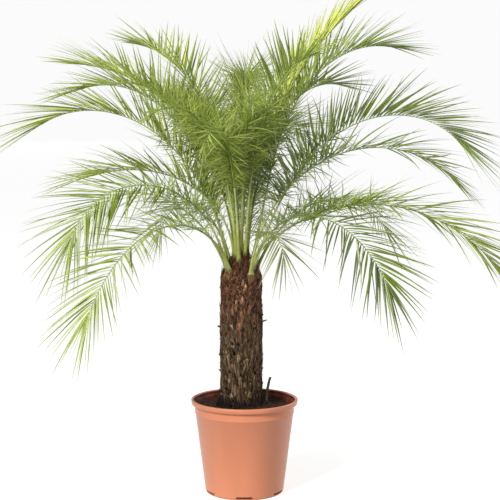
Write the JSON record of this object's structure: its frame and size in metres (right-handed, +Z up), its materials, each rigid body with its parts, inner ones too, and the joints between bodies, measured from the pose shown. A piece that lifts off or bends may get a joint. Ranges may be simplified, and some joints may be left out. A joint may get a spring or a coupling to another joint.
{
  "type": "potted phoenix palm",
  "caption": "Young phoenix palm: a stout fibrous trunk and a full crown of arching feather fronds, in a round tapered plastic pot.",
  "frame": {"origin": "centre of the pot's flat underside, on the ground", "axes": "+Z up along the pot's axis, -Y towards the front of the picture, +X to its right"},
  "size_m": [1.1789, 1.0302, 1.1642],
  "materials": {
    "pot": "satin moulded terracotta-coloured plastic",
    "soil": "dark moist potting soil with root fibre",
    "bark": "rough fibrous leaf bases, red-brown above and grey-olive below",
    "frond": "semi-gloss green feather fronds",
    "young_leaf": "smooth yellow-green folded young leaf"
  },
  "bodies": {
    "root": {"pot": "pot", "soil": "soil", "trunk": "bark", "foot_stub": "bark", "spear_1": "young_leaf", "spear_2": "young_leaf", "frond_left_1_inner": "frond", "frond_left_1_outer": "frond", "frond_left_2_inner": "frond", "frond_left_2_outer": "frond", "frond_left_3_inner": "frond", "frond_left_3_outer": "frond", "frond_left_4_inner": "frond", "frond_left_4_outer": "frond", "frond_left_5_inner": "frond", "frond_left_5_outer": "frond", "frond_left_6": "frond", "frond_left_7_inner": "frond", "frond_left_7_outer": "frond", "frond_right_1": "frond", "frond_right_2_inner": "frond", "frond_right_2_outer": "frond", "frond_right_3_inner": "frond", "frond_right_3_outer": "frond", "frond_right_4_inner": "frond", "frond_right_4_outer": "frond", "frond_right_5_inner": "frond", "frond_right_5_outer": "frond", "frond_right_6_inner": "frond", "frond_right_6_outer": "frond", "frond_right_7_inner": "frond", "frond_right_7_outer": "frond", "frond_right_8": "frond", "frond_front_1_inner": "frond", "frond_front_1_outer": "frond", "frond_front_2_inner": "frond", "frond_front_2_outer": "frond", "frond_front_3_inner": "frond", "frond_front_3_outer": "frond", "frond_front_4_inner": "frond", "frond_front_4_outer": "frond", "frond_front_5_inner": "frond", "frond_front_5_outer": "frond", "frond_back_1_inner": "frond", "frond_back_1_outer": "frond", "frond_back_2_inner": "frond", "frond_back_2_outer": "frond", "frond_back_3_inner": "frond", "frond_back_3_outer": "frond", "frond_back_4_inner": "frond", "frond_back_4_outer": "frond", "frond_back_5_inner": "frond", "frond_back_5_outer": "frond", "frond_back_6_inner": "frond", "frond_back_6_outer": "frond", "frond_back_7_inner": "frond", "frond_back_7_outer": "frond", "frond_back_8_inner": "frond", "frond_back_8_outer": "frond"}
  },
  "joints": []
}
